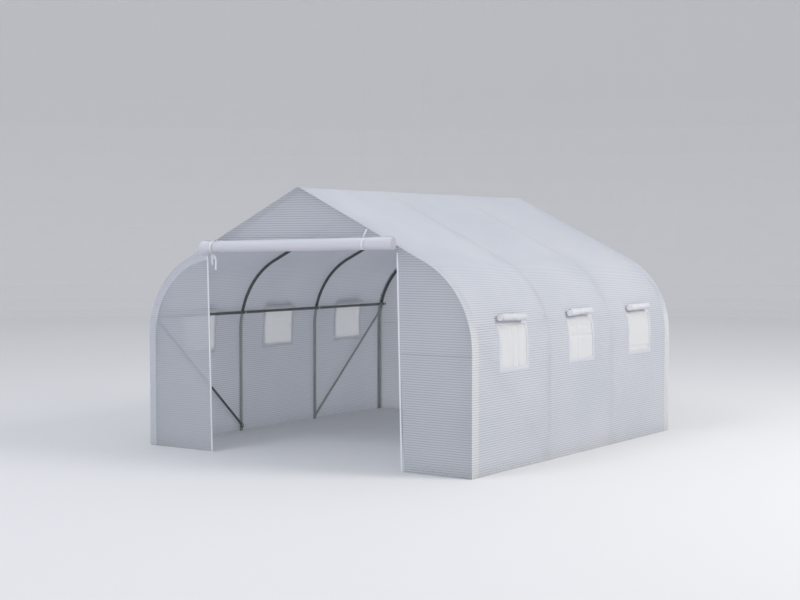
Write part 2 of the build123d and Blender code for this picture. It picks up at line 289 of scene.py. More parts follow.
# Slow changes of tone, fine grain, and dirt splashed up on the foot
def makeWeathering():
    look = {"fineness": 40, "specks": (0.35, 0.7)}
    scales = {"Scale": 1.5, "Splash Height": 0.12}
    tree, given, made = newGroup("weathering", scales, ["Tone", "Grain", "Splash"])
    vector, slowScale = given["Vector"], given["Scale"]
    slow = addNode(
        tree, "ShaderNodeTexNoise", {"Vector": vector, "Scale": slowScale, "Detail": 3.0, "Roughness": 0.5}
    )
    fineScale = mathNode(tree, "MULTIPLY", slowScale, look["fineness"])
    fine = addNode(
        tree, "ShaderNodeTexNoise", {"Vector": vector, "Scale": fineScale, "Detail": 2.0, "Roughness": 0.6}
    )
    axes = addNode(tree, "ShaderNodeSeparateXYZ", {0: vector}).outputs
    low = mathNode(tree, "DIVIDE", axes["Z"], given["Splash Height"])
    specks = smoothStep(tree, fine.outputs[0], *look["specks"])
    splash = mathNode(tree, "MULTIPLY", smoothStep(tree, low, 1.0, 0.0), specks)
    setInputs(tree, made, {"Tone": slow.outputs[0], "Grain": fine.outputs[0], "Splash": splash})
    return tree


ribbedWeave = makeRibbedWeave()
weathering = makeWeathering()


def placeGroup(tree, group, vector, **values):
    inputs = {key.replace("_", " "): value for key, value in values.items()}
    return addNode(tree, "ShaderNodeGroup", {"Vector": vector, **inputs}, node_tree=group).outputs


def newMaterial(name):
    material = bpy.data.materials.new(name)
    material.use_nodes = True
    tree = material.node_tree
    return material, tree, tree.nodes["Principled BSDF"], addNode(tree, "ShaderNodeTexCoord").outputs


def addBump(tree, shader, height, distance, strength):
    bump = addNode(tree, "ShaderNodeBump", {"Strength": strength, "Distance": distance, "Height": height})
    setInputs(tree, shader, {"Normal": bump.outputs[0]})
    return bump.outputs[0]


# Light glows through from behind, and part of what lies behind shows
def letThrough(tree, shader, behind, glowShare, clearShare):
    glow = addNode(tree, "ShaderNodeMixShader", {0: glowShare, 1: shader.outputs[0], 2: behind.outputs[0]})
    clear = addNode(tree, "ShaderNodeBsdfTransparent")
    see = addNode(tree, "ShaderNodeMixShader", {0: clearShare, 1: glow.outputs[0], 2: clear.outputs[0]})
    setInputs(tree, tree.nodes["Material Output"], {"Surface": see.outputs[0]})


# 1 in a band of that width inside the cover's outline, and 0 elsewhere
def outlineBand(tree, axes, width):
    across = mathNode(tree, "SUBTRACT", mathNode(tree, "ABSOLUTE", axes["X"]), shoulderX)
    up = mathNode(tree, "SUBTRACT", axes["Z"], wallHeight)
    squares = []
    for part in (across, up):
        part = mathNode(tree, "MAXIMUM", part, 0.0)
        squares.append(mathNode(tree, "MULTIPLY", part, part))
    reach = mathNode(tree, "SQRT", mathNode(tree, "ADD", *squares))
    inner = tunnel["shoulderRadius"] - width
    return smoothStep(tree, reach, inner - 0.008, inner + 0.004)


filmLook = {
    "ribPitch": 0.017,
    "ribStrength": 0.46,
    "ribHides": 0.2,          # share of the film's clearness that a rib takes away
    "pale": (0.87, 0.88, 0.91, 1),
    "cool": (0.82, 0.84, 0.88, 1),
    "ribColour": (0.30, 0.32, 0.38, 1),
    "dirtColour": (0.42, 0.37, 0.31, 1),
    "dirtShare": 0.25,
    "roughness": (0.42, 0.56),
    "glow": 0.44,
    "clear": 0.25,
    "bump": 0.6,
    "bumpHeight": 0.0006,
    # colour of the painted light on the hem's lower part
    "paintedLightColour": (0.99, 0.99, 0.98, 1),
    "paintedLightFade": 0.3,      # height over which the hem's painted light fades out
    "seamStrength": 0.45,
    "bandColour": (0.93, 0.94, 0.98, 1),
    "bandHides": (0.55, 0.75),   # shares of the ribs and of the clearness that the doubled band takes away
    "roofFades": (1.2, 1.5),
}


def makeFilm(name, changes):
    look = {**filmLook, **changes}
    material, tree, shader, coords = newMaterial(name)
    weave = placeGroup(tree, ribbedWeave, coords["UV"], Rib_Pitch=look["ribPitch"])
    aged = placeGroup(tree, weathering, coords["Object"])
    tone = mixColour(tree, smoothStep(tree, aged["Tone"], 0.3, 0.7), look["pale"], look["cool"])
    ribs = mathNode(tree, "MULTIPLY", weave["Rib"], look["ribStrength"])
    clearness = mathNode(
        tree, "MULTIPLY_ADD", weave["Rib"], -look["ribHides"] * look["clear"], look["clear"]
    )
    axes = addNode(tree, "ShaderNodeSeparateXYZ", {0: coords["Object"]}).outputs
    height = axes["Z"]
    if "paintedLightBelow" in look:   # painted light: the hem is painted whiter down the wall, as a sunlit strip at its edge
        low = smoothStep(tree, height, look["paintedLightBelow"] + look["paintedLightFade"], look["paintedLightBelow"])
        tone = mixColour(tree, low, tone, look["paintedLightColour"])
    if "seamHeight" in look:   # two widths of film are welded together there
        away = mathNode(tree, "ABSOLUTE", mathNode(tree, "SUBTRACT", height, look["seamHeight"]))
        seam = smoothStep(tree, away, look["seamWidth"], look["seamWidth"] * 0.6, 0.0, look["seamStrength"])
        ribs = mathNode(tree, "MAXIMUM", ribs, seam)
    if "edgeBand" in look:   # the edge is doubled where it is sewn to the cover
        band = outlineBand(tree, axes, look["edgeBand"])
        tone = mixColour(tree, band, tone, look["bandColour"])
        fewer, duller = (mathNode(tree, "MULTIPLY_ADD", band, -share, 1.0) for share in look["bandHides"])
        ribs = mathNode(tree, "MULTIPLY", ribs, fewer)
        clearness = mathNode(tree, "MULTIPLY", clearness, duller)
    if "roofClear" in look:   # the roof's film lies flatter to the eye, and shows less of the hoops
        roofShare = smoothStep(tree, height, *look["roofFades"], 1.0, look["roofClear"])
        clearness = mathNode(tree, "MULTIPLY", clearness, roofShare)
    ribbed = mixColour(tree, ribs, tone, look["ribColour"])
    splashed = mathNode(tree, "MULTIPLY", aged["Splash"], look["dirtShare"])
    dirty = mixColour(tree, splashed, ribbed, look["dirtColour"])
    rough = smoothStep(tree, aged["Grain"], 0.2, 0.8, *look["roughness"])
    setInputs(tree, shader, {"Base Color": dirty, "Roughness": rough})
    bump = addBump(tree, shader, weave["Height"], look["bumpHeight"], look["bump"])
    behind = addNode(tree, "ShaderNodeBsdfTranslucent", {"Color": dirty, "Normal": bump})
    letThrough(tree, shader, behind, look["glow"], clearness)
    return material


rollLook = {"glow": 0.06, "clear": 0.0, "ribStrength": 0.04, "bump": 0.15}
filmLooks = {
    "cover": {"roofClear": 0.5},
    "end": {"clear": 0.34, "ribStrength": 0.54, "seamHeight": 0.826, "seamWidth": 0.006},
    "leftPanel": {"clear": 0.46, "glow": 0.5, "edgeBand": 0.06},
    "hem": {"clear": 0.3, "paintedLightBelow": 0.9, "roofClear": 0.4},
    "border": {
        "pale": (0.89, 0.89, 0.92, 1), "cool": (0.86, 0.86, 0.90, 1), "ribStrength": 0.1, "clear": 0.12,
        "glow": 0.5,
    },
    # painted shade: the rolled film of the door roll and the window rolls is painted darker than the
    # cover's film
    "doorRoll": {**rollLook, "pale": (0.78, 0.78, 0.83, 1), "cool": (0.74, 0.74, 0.80, 1)},
    "flapRoll": {**rollLook, "pale": (0.72, 0.73, 0.76, 1), "cool": (0.60, 0.61, 0.65, 1), "glow": 0.15},
    # painted shade: the door roll's end discs are painted darker than its film
    "shadedDoorRollEnd": {**rollLook, "pale": (0.50, 0.50, 0.55, 1), "cool": (0.45, 0.45, 0.50, 1)},
    # painted light: the window rolls' end discs are painted near white
    "litFlapRollEnd": {**rollLook, "pale": (0.98, 0.98, 0.98, 1), "cool": (0.94, 0.95, 0.95, 1), "glow": 0.2},
}
films = {kind: makeFilm(f"{kind}Film", changes) for kind, changes in filmLooks.items()}


def makeNetting():
    look = {
        "pitch": 0.0028, "thread": (0.97, 0.97, 0.96, 1), "pale": (0.99, 0.99, 0.98, 1), "roughness": 0.75,
        "bumpHeight": 0.0003, "bump": 0.25, "glow": 0.54, "clear": (0.238, 0.322),
    }
    material, tree, shader, coords = newMaterial("windowNetting")
    net = placeGroup(tree, ribbedWeave, coords["UV"], Rib_Pitch=look["pitch"], Thread_Pitch=look["pitch"])
    aged = placeGroup(tree, weathering, coords["Object"])
    colour = mixColour(tree, aged["Tone"], look["thread"], look["pale"])
    setInputs(tree, shader, {"Base Color": colour, "Roughness": look["roughness"]})
    addBump(tree, shader, net["Height"], look["bumpHeight"], look["bump"])
    behind = addNode(tree, "ShaderNodeBsdfTranslucent", {"Color": colour})
    holes = smoothStep(tree, net["Thread"], 0.3, 0.7, *look["clear"])
    letThrough(tree, shader, behind, look["glow"], holes)
    return material


def makeWebbing(name, colour, dark, pitch):
    look = {
        "ribWidth": 0.5, "shade": 0.4, "roughness": (0.6, 0.8), "sheen": 0.2, "bumpHeight": 0.0003,
        "bump": 0.7,
    }
    material, tree, shader, coords = newMaterial(name)
    pitches = {"Rib_Pitch": pitch, "Thread_Pitch": pitch, "Rib_Width": look["ribWidth"]}
    weave = placeGroup(tree, ribbedWeave, coords["UV"], **pitches)
    aged = placeGroup(tree, weathering, coords["Object"])
    shade = mathNode(tree, "MULTIPLY", weave["Height"], look["shade"])
    setInputs(tree, shader, {
        "Base Color": mixColour(tree, shade, colour, dark),
        "Roughness": smoothStep(tree, aged["Grain"], 0.2, 0.8, *look["roughness"]),
        "Sheen Weight": look["sheen"],
    })
    addBump(tree, shader, weave["Height"], look["bumpHeight"], look["bump"])
    return material


steelLook = {
    "scale": 2.2, "spangle": 160, "flakes": 0.2, "worn": 0.5, "splashHeight": 0.08, "dirtShare": 0.6,
    "dirtColour": (0.20, 0.16, 0.12, 1), "roughness": 0.3, "flakeRoughness": 0.12, "metallic": 0.1,
    "coat": 1.0, "coatRoughness": 0.12, "coatIor": 1.7, "bumpHeight": 0.00015, "bump": 0.4,
}


def makeSteel(name, changes):
    look = {**steelLook, **changes}
    material, tree, shader, coords = newMaterial(name)
    place = coords["Object"]
    aged = placeGroup(tree, weathering, place, Scale=look["scale"], Splash_Height=look["splashHeight"])
    spangle = addNode(tree, "ShaderNodeTexVoronoi", {"Vector": place, "Scale": look["spangle"]})
    flake = addNode(tree, "ShaderNodeSeparateColor", {0: spangle.outputs["Color"]})
    flakes = mathNode(tree, "MULTIPLY", flake.outputs[0], look["flakes"])
    metal = mixColour(tree, flakes, look["colour"], look["light"])
    dullness = smoothStep(tree, aged["Tone"], 0.45, 0.8, 0.0, look["worn"])
    worn = mixColour(tree, dullness, metal, look["dull"])
    splashed = mathNode(tree, "MULTIPLY", aged["Splash"], look["dirtShare"])
    rough = mathNode(tree, "MULTIPLY_ADD", flake.outputs[1], look["flakeRoughness"], look["roughness"])
    setInputs(tree, shader, {
        "Base Color": mixColour(tree, splashed, worn, look["dirtColour"]),
        "Roughness": rough,
        "Metallic": look["metallic"],
        "Coat Weight": look["coat"],
        "Coat Roughness": look["coatRoughness"],
        "Coat IOR": look["coatIor"],
    })
    addBump(tree, shader, aged["Grain"], look["bumpHeight"], look["bump"])
    return material


windowNetting = makeNetting()
strapWebbing = makeWebbing("strapWebbing", (0.96, 0.96, 0.97, 1), (0.78, 0.79, 0.82, 1), 0.002)
tieWebbing = makeWebbing("tieWebbing", (0.74, 0.75, 0.78, 1), (0.58, 0.59, 0.63, 1), 0.002)
weltPiping = makeWebbing("weltPiping", (0.92, 0.93, 0.96, 1), (0.78, 0.80, 0.86, 1), 0.004)
# ribs, elbows, rails and front braces: the tube steel painted dark, as painted shade
shadedTubeSteel = makeSteel("shadedTubeSteel", {
    "colour": (0.045, 0.060, 0.055, 1), "light": (0.10, 0.12, 0.11, 1), "dull": (0.035, 0.045, 0.04, 1),
})
# legs and rear braces: the same tube steel painted lighter, as painted light from above
litTubeSteel = makeSteel("litTubeSteel", {
    "colour": (0.32, 0.37, 0.34, 1), "light": (0.46, 0.51, 0.47, 1), "dull": (0.24, 0.28, 0.26, 1),
    "coat": 0.6,
})
boltSteel = makeSteel("boltSteel", {
    "scale": 9.0, "spangle": 400, "colour": (0.55, 0.55, 0.53, 1), "light": (0.7, 0.7, 0.68, 1),
    "dull": (0.38, 0.37, 0.35, 1), "roughness": 0.28, "metallic": 0.95, "coat": 0.0,
})
print("materials:", len(bpy.data.materials))


# Hoops: each leg and rib is a round tube, drawn as a ring that is pulled up and spun round the bends
tube = {
    "sides": 20,
    "wall": 0.001,
    "spigotLength": 0.05,
    "spigotRadius": 0.0113,
    "neckLength": 0.003,
    "ridgeArm": 0.11,
    "footSteps": 5,
    "bendSteps": 18,
    "ridgeSteps": 10,
}
hoopBend = hoopX - shoulderX
hoopCrown = tunnel["ridgeRadius"] - (halfWidth - hoopX)
jointHeight = (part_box("right_side_rail")[0].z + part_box("right_side_rail")[1].z) / 2
jointAngle = asin((jointHeight - wallHeight) / (hoopBend - 2 * tubeRadius))
bendAngle = pi / 2 - slope


def shoulderSpot(angle, y):
    return Vector((shoulderX + hoopBend * cos(angle), y, wallHeight + hoopBend * sin(angle)))


def armSpot(reach, y):   # on the hoop's line, that far down the slope from the ridge's curve
    up = crownCentre + hoopCrown * cos(slope) - reach * sin(slope)
    return Vector((hoopCrown * sin(slope) + reach * cos(slope), y, up))


def pull(step):
    bpy.ops.mesh.extrude_region_move(TRANSFORM_OT_translate={"value": tuple(step)})


def widen(share, centre):
    bpy.ops.transform.resize(value=(share, share, share), center_override=tuple(centre))


def spinRing(angle, centre, steps):
    bpy.ops.mesh.spin(steps=steps, angle=angle, center=tuple(centre), axis=(0, 1, 0))


def startRing(name, centre, rotation, radius):
    return startPiece(
        name, bpy.ops.mesh.primitive_circle_add, vertices=tube["sides"], radius=radius,
        fill_type="NOTHING", location=tuple(centre), rotation=rotation,
    )


def closeTube(piece, material, node):
    recalculate(piece)
    applyModifier(piece, "SOLIDIFY", thickness=tube["wall"], offset=-1, use_even_offset=True)
    dress(piece, material, [node])


def drawLeg(name, y):
    leg = startRing(name, (hoopX, y, 0), (0, 0, 0), tubeRadius)
    pull((0, 0, wallHeight))
    spinRing(jointAngle, (shoulderX, y, wallHeight), tube["footSteps"])
    return leg


def drawRib(name, y):
    centre = (shoulderX, y, wallHeight)
    spigotAngle = tube["spigotLength"] / hoopBend
    neckAngle = tube["neckLength"] / hoopBend
    start = shoulderSpot(jointAngle - spigotAngle, y)
    rib = startRing(name, start, (0, spigotAngle - jointAngle, 0), tube["spigotRadius"])
    spinRing(spigotAngle, centre, 2)
    spinRing(neckAngle, centre, 1)
    widen(tubeRadius / tube["spigotRadius"], shoulderSpot(jointAngle + neckAngle, y))
    spinRing(bendAngle - jointAngle - neckAngle, centre, tube["bendSteps"])
    pull(armSpot(tube["ridgeArm"], y) - shoulderSpot(bendAngle, y))
    return rib


def drawElbow(name, y):
    start = armSpot(tube["ridgeArm"] + tube["spigotLength"], y)
    elbow = startRing(name, start, (0, -bendAngle, 0), tube["spigotRadius"])
    spigotRun = armSpot(tube["ridgeArm"], y) - start
    neckRun = spigotRun.normalized() * tube["neckLength"]
    armRun = armSpot(0, y) - armSpot(tube["ridgeArm"], y) - neckRun
    pull(spigotRun)
    pull(neckRun)
    widen(tubeRadius / tube["spigotRadius"], armSpot(tube["ridgeArm"], y) + neckRun)
    pull(armRun)
    spinRing(2 * slope, (0, y, crownCentre), tube["ridgeSteps"])
    mirror = Vector((1, 1, -1))
    pull(armRun * mirror)
    pull(neckRun * mirror)
    widen(tube["spigotRadius"] / tubeRadius, armSpot(tube["ridgeArm"], y) * Vector((-1, 1, 1)))
    pull(spigotRun * mirror)
    return elbow


firstLeg = drawLeg("hoop_leg_right_1", hoopPlaces[0])
closeTube(firstLeg, litTubeSteel, "hoop_1_right_leg")
firstRib = drawRib("hoop_rib_right_1", hoopPlaces[0])
closeTube(firstRib, shadedTubeSteel, "hoop_1_right_rib")
firstElbow = drawElbow("ridge_elbow_1", hoopPlaces[0])
closeTube(firstElbow, shadedTubeSteel, "ridge_elbows")
for number, hoopY in enumerate(hoopPlaces, start=1):
    step = (0, hoopY - hoopPlaces[0], 0)
    for sideName in sideSigns:
        for part, first, steel in (("leg", firstLeg, litTubeSteel), ("rib", firstRib, shadedTubeSteel)):
            if (number, sideName) != (1, "right"):
                double = copyPiece(first, f"hoop_{part}_{sideName}_{number}", step, sideName == "left")
                dress(double, steel, [f"hoop_{number}_{sideName}_{part}"])
    if number > 1:
        double = copyPiece(firstElbow, f"ridge_elbow_{number}", step)
        dress(double, shadedTubeSteel, ["ridge_elbows"])


# Rails: straight tubes on the inside of the hoops
def drawRail(name, node):
    low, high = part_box(node)
    middle = (low + high) / 2
    rail = startRing(name, (middle.x, low.y, middle.z), (pi / 2, 0, 0), tubeRadius)
    pull((0, high.y - low.y, 0))
    closeTube(rail, shadedTubeSteel, node)


for sideName in sideSigns:
    drawRail(f"side_rail_{sideName}", f"{sideName}_side_rail")
drawRail("rail_under_ridge", "ridge_rail")


# Braces: tubes with both ends squeezed flat and bolted to the inside of the hoops
brace = {
    "sides": 16,
    "radius": 0.010,
    "tabLength": 0.032,
    "squeeze": 0.042,
    "tabHalfThickness": 0.001,
    "drop": 0.036,
    "footHeight": 0.045,
    "clearance": 0.0003,
}


# Moves the picked ring from one place to the next: centre, way out, way along, reach out, reach across
def moveRing(piece, old, new):
    shape = bmesh.from_edit_mesh(piece.data)
    for vert in shape.verts:
        if vert.select:
            off = vert.co - old[0]
            outShare = off.dot(old[1]) / old[3]
            acrossShare = off.dot(old[2].cross(old[1])) / old[4]
            across = new[2].cross(new[1])
            vert.co = new[0] + new[1] * new[3] * outShare + across * new[4] * acrossShare
    bmesh.update_edit_mesh(piece.data)


def squareTo(direction, axis):
    return (direction - axis * direction.dot(axis)).normalized()


def drawBrace(name, node, steel, head, foot, headSeat, footSeat):
    axis = (head - foot).normalized()
    tabHalfWidth = pi * (brace["radius"] - brace["tabHalfThickness"] / 2) / 2
    flat = (brace["tabHalfThickness"], tabHalfWidth)
    rounded = (brace["radius"], brace["radius"])
    half = brace["tabLength"] / 2
    outwards = squareTo(footSeat, axis)
    footReach, headReach = squareTo(axis, footSeat), squareTo(axis, headSeat)
    stations = [
        (foot - footReach * half, footSeat, footReach, *flat),
        (foot + footReach * half, footSeat, footReach, *flat),
        (foot + axis * (half + brace["squeeze"]), outwards, axis, *rounded),
        (head - axis * (half + brace["squeeze"]), outwards, axis, *rounded),
        (head - headReach * half, headSeat, headReach, *flat),
        (head + headReach * half, headSeat, headReach, *flat),
    ]
    piece = startPiece(
        name, bpy.ops.mesh.primitive_circle_add, vertices=brace["sides"], radius=1, fill_type="NGON"
    )
    atStart = (Vector((0, 0, 0)), Vector((1, 0, 0)), Vector((0, 0, 1)), 1, 1)
    moveRing(piece, atStart, stations[0])
    for old, new in zip(stations, stations[1:]):
        pull((0, 0, 0))
        moveRing(piece, old, new)
    recalculate(piece)
    dress(piece, steel, [node])


bolt = {
    "flats": 0.010,
    "headHeight": 0.0042,
    "washerRadius": 0.0085,
    "washerHeight": 0.0012,
    "washerSides": 18,
    "edge": 0.0005,
    "sunk": 0.0004,   # how far a washer sits into a round rail
}


# Hexagon head on a washer, with its seat at the origin and its axis along z
def drawBolt():
    washer = startPiece(
        "washer", bpy.ops.mesh.primitive_cylinder_add, vertices=bolt["washerSides"],
        radius=bolt["washerRadius"], depth=bolt["washerHeight"], location=(0, 0, bolt["washerHeight"] / 2),
    )
    bpy.ops.mesh.bevel(offset=bolt["edge"] / 2, segments=1, affect="EDGES")
    head = startPiece(
        "frame_bolts", bpy.ops.mesh.primitive_cylinder_add, vertices=6,
        radius=bolt["flats"] / 2 / cos(pi / 6), depth=bolt["headHeight"],
        location=(0, 0, bolt["washerHeight"] + bolt["headHeight"] / 2),
    )
    bpy.ops.mesh.bevel(offset=bolt["edge"], segments=2, affect="EDGES")
    return joinPieces(head, washer)


boltSeats = []   # where each bolt's washer lies, and the way that its head looks
tabOffset = tubeRadius + brace["clearance"] + brace["tabHalfThickness"]
headRadius = hoopBend - tabOffset
headAngle = asin((jointHeight - brace["drop"] - wallHeight) / headRadius)
for endName, steel, headY, footY in (
    ("front", shadedTubeSteel, hoopPlaces[0], hoopPlaces[1]), ("rear", litTubeSteel, hoopPlaces[-1], hoopPlaces[-2])
):
    for sideName, side in sideSigns.items():
        headSeat = Vector((side * cos(headAngle), 0, sin(headAngle)))
        footSeat = Vector((side, 0, 0))
        head = Vector((side * shoulderX, headY, wallHeight)) + headSeat * headRadius
        foot = Vector((side * (hoopX - tabOffset), footY, brace["footHeight"]))
        name, node = f"brace_{endName}_{sideName}", f"{endName}_{sideName}_brace"
        drawBrace(name, node, steel, head, foot, headSeat, footSeat)
        boltSeats.append((head - headSeat * brace["tabHalfThickness"], -headSeat))
        boltSeats.append((foot - footSeat * brace["tabHalfThickness"], -footSeat))

for sideName, side in sideSigns.items():
    low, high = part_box(f"{sideName}_side_rail")
    middle = (low + high) / 2
    wayIn = -Vector((side * cos(jointAngle), 0, sin(jointAngle)))
    for hoopY in hoopPlaces:
        seat = Vector((middle.x, hoopY, middle.z)) + wayIn * (tubeRadius - bolt["sunk"])
        boltSeats.append((seat, wayIn))
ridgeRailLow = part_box("ridge_rail")[0].z
for hoopY in hoopPlaces:
    boltSeats.append((Vector((0, hoopY, ridgeRailLow + bolt["sunk"])), Vector((0, 0, -1))))

bolts = []
firstBolt = drawBolt()
for place, (seat, wayOut) in enumerate(boltSeats):
    double = copyPiece(firstBolt, f"bolt_{place}")
    double.data.transform(seatOn(seat, wayOut))
    bolts.append(double)
bpy.data.objects.remove(firstBolt)
frameBolts = joinPieces(*bolts)
frameBolts.name = frameBolts.data.name = "frame_bolts"
dress(frameBolts, boltSteel, smoothAngle=30)
print("braces and bolts:", len(boltSeats))


# Sheets are cut flat, with their map drawn on them in metres, and then hung in their place
def flatSheet(name, columns, rows, width, length):
    sheet = startPiece(
        name, bpy.ops.mesh.primitive_grid_add, x_subdivisions=columns, y_subdivisions=rows, size=1
    )
    bpy.ops.transform.resize(value=(width, length, 1))
    return sheet


def cutAcross(spot, wayAcross, dropOuter=False):
    bpy.ops.mesh.select_all(action="SELECT")
    bpy.ops.mesh.bisect(plane_co=spot, plane_no=wayAcross, clear_outer=dropOuter)


def cutAtRuns(runs):   # across the cover on both sides, that far down from the ridge
    for run in runs:
        for side in (-1, 1):
            cutAcross((0, side * run, 0), (0, 1, 0))


def hangSheet(sheet, place, thickness, flipped=False, mapShift=(0, 0)):
    clearSelection()
    mesh = sheet.data
    drawMap(mesh, lambda spot: spot.xy + Vector(mapShift))
    for vert in mesh.vertices:
        vert.co = place(vert.co.x, vert.co.y)
    if flipped:
        mesh.flip_normals()
    applyModifier(sheet, "SOLIDIFY", thickness=thickness, offset=-1, use_even_offset=True)


window = {
    "width": 0.40,
    "sill": 0.705,
    "head": 1.05,
    "border": 0.024,
    "borderLap": 0.016,
    "borderGrid": (14, 18),
    "netLap": 0.012,
    "netGrid": (60, 48),
    "netThickness": 0.0008,
    "netInset": 0.0018,
    # place and depth of the netting's upright folds, and of those that lie across it
    "folds": [[(-0.02, 0.004), (0.06, 0.005)], [(-0.07, 0.0015)], [(0.11, 0.0015)]],
    "crossFolds": [[(-0.15, 0.003)], [(-0.015, 0.003), (-0.09, 0.002)], [(0.128, 0.004), (-0.125, 0.002)]],
    "foldWidth": 0.012,
}
windowMiddles = [(low + high) / 2 for low, high in zip(hoopPlaces, hoopPlaces[1:])]
windowPlaces = [
    (sideName, side, number, middle)
    for sideName, side in sideSigns.items() for number, middle in enumerate(windowMiddles, start=1)
]
sillRun = outlineRun - window["sill"]
headRun = outlineRun - wallHeight - tunnel["shoulderRadius"] * asin(
    (window["head"] - wallHeight) / tunnel["shoulderRadius"]
)

cover = {"columns": 72, "rowStep": 0.025, "thickness": 0.0012}
length = rearY - frontY
middleY = (frontY + rearY) / 2
coverRows = round(2 * outlineRun / cover["rowStep"])


def hangCover():
    sheet = flatSheet("cover_sheet", cover["columns"], coverRows, length, 2 * outlineRun)
    for hoopY in hoopPlaces:
        cutAcross((hoopY - middleY, 0, 0), (1, 0, 0))
    for middle in windowMiddles:
        for edge in (-1, 1):
            cutAcross((middle - middleY + edge * window["width"] / 2, 0, 0), (1, 0, 0))
    cutAtRuns([sillRun, headRun, crownRun, crownRun / 2, 0, crownRun + slopeRun])

    def inWindow(centre):
        fromMiddles = [abs(centre.x + middleY - middle) for middle in windowMiddles]
        return headRun < abs(centre.y) < sillRun and min(fromMiddles) < window["width"] / 2

    cutOpening(sheet, inWindow)
    hangSheet(sheet, lambda x, y: coverPoint(y, x + middleY), cover["thickness"], flipped=True)
    dress(sheet, films["cover"], [
        f"{sideName}_{part}_film" for sideName in sideSigns for part in ("wall", "shoulder", "roof")
    ])
    return sheet


coverSheet = hangCover()

# Hems: a doubled band round each end of the cover
hemBand = {"columns": 4, "width": 0.085, "thickness": 0.0005, "lift": 0.0007}


def hangHem(name, y, wayIn):
    hem = flatSheet(name, hemBand["columns"], coverRows, hemBand["width"], 2 * outlineRun)
    cutAtRuns([crownRun, crownRun / 2, 0])
    start = y + wayIn * hemBand["width"] / 2
    lift, thickness = hemBand["lift"], hemBand["thickness"]
    hangSheet(hem, lambda x, y: coverPoint(y, x + start, lift), thickness, flipped=True)
    dress(hem, films["hem"])
    return hem


coverHems = [hangHem("front_hem", frontY, 1), hangHem("rear_hem", rearY, -1)]
print("cover:", len(coverSheet.data.polygons), "faces")


# Ends: each panel is cut from a flat sheet by the cover's inner outline, and bellies a little
endPanel = {
    "step": 0.022,
    "inset": 0.0015,
    "arcCuts": 14,
    "belly": 0.004,
    "bellyFade": 0.25,    # distance from the edge in which the belly fades out
    "looseFoot": 0.15,    # the lower edge is loose, so the belly fades less there
    "crease": 0.009,
    "creaseWidth": 0.03,
    "creaseLine": (Vector((-1.42, 0.9, 0)), Vector((-1.33, 0.63, 0))),
}


def cutToOutline():
    arcRuns = [shoulderRun * (cut + 0.5) / endPanel["arcCuts"] for cut in range(endPanel["arcCuts"])]
    cuts = [outlineRun - wallHeight / 2, *(crownRun + slopeRun + run for run in arcRuns)]
    cuts += [crownRun + slopeRun / 2, crownRun * 0.75, crownRun * 0.25]
    for run in cuts:
        for side in (-1, 1):
            point, wayOut = outlinePoint(side * run)
            point -= wayOut * endPanel["inset"]
            cutAcross((point.x, point.z, 0), (wayOut.x, wayOut.z, 0), dropOuter=True)


def hangEnd(name, film, node, y, wayOut, left, right, bottom, top, seed, doorSide):
    width, height = right - left, top - bottom
    columns, rows = (round(size / endPanel["step"]) for size in (width, height))
    sheet = flatSheet(name, columns, rows, width, height)
    bpy.ops.transform.translate(value=((left + right) / 2, (bottom + top) / 2, 0))
    cutToOutline()
    if doorSide:
        wayAcross = Vector((doorHeight, doorLean, 0)) * -doorSide
        cutAcross((doorSide * doorHalf, doorHeight, 0), wayAcross, dropOuter=True)

    def place(x, z):
        fade = endPanel["bellyFade"]
        fromEdge = min(x - left, right - x, z - bottom + endPanel["looseFoot"], fade) / fade
        swell = endPanel["belly"] * noise.noise(Vector((x * 2.2, z * 0.9, seed))) * max(0, fromEdge)
        if doorSide < 0:   # a soft fold runs down from the hoop's shoulder
            spot = Vector((x, z, 0))
            near, share = intersect_point_line(spot, *endPanel["creaseLine"])
            along = max(0, 1 - abs(2 * share - 1)) ** 0.5
            off = (spot - near).length / endPanel["creaseWidth"]
            swell += endPanel["crease"] * along * exp(-off ** 2)
        return Vector((x, y + wayOut * swell, z))

    hangSheet(sheet, place, cover["thickness"], flipped=wayOut > 0)
    dress(sheet, films[film], [node])


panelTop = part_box("front_left_panel")[1].z
ends = {   # film, node, end and way out, left, right, bottom, top, seed, side of the doorway
    "front_panel_left": (
        "leftPanel", "front_left_panel", frontY, -1, -halfWidth, doorLean - doorHalf, 0, panelTop, 1.3, -1,
    ),
    "front_panel_right": ("end", "front_right_panel", frontY, -1, doorHalf, halfWidth, 0, panelTop, 5.2, 1),
    "front_gable": (
        "end", "front_gable_panel", frontY, -1, -doorHalf, doorHalf, doorHeight, ridgeHeight, 8.8, 0,
    ),
    "rear_panel": ("end", "rear_end_panel", rearY, 1, -halfWidth, halfWidth, 0, ridgeHeight, 2.4, 0),
}
for name, facts in ends.items():
    hangEnd(name, *facts)
print("ends hung")


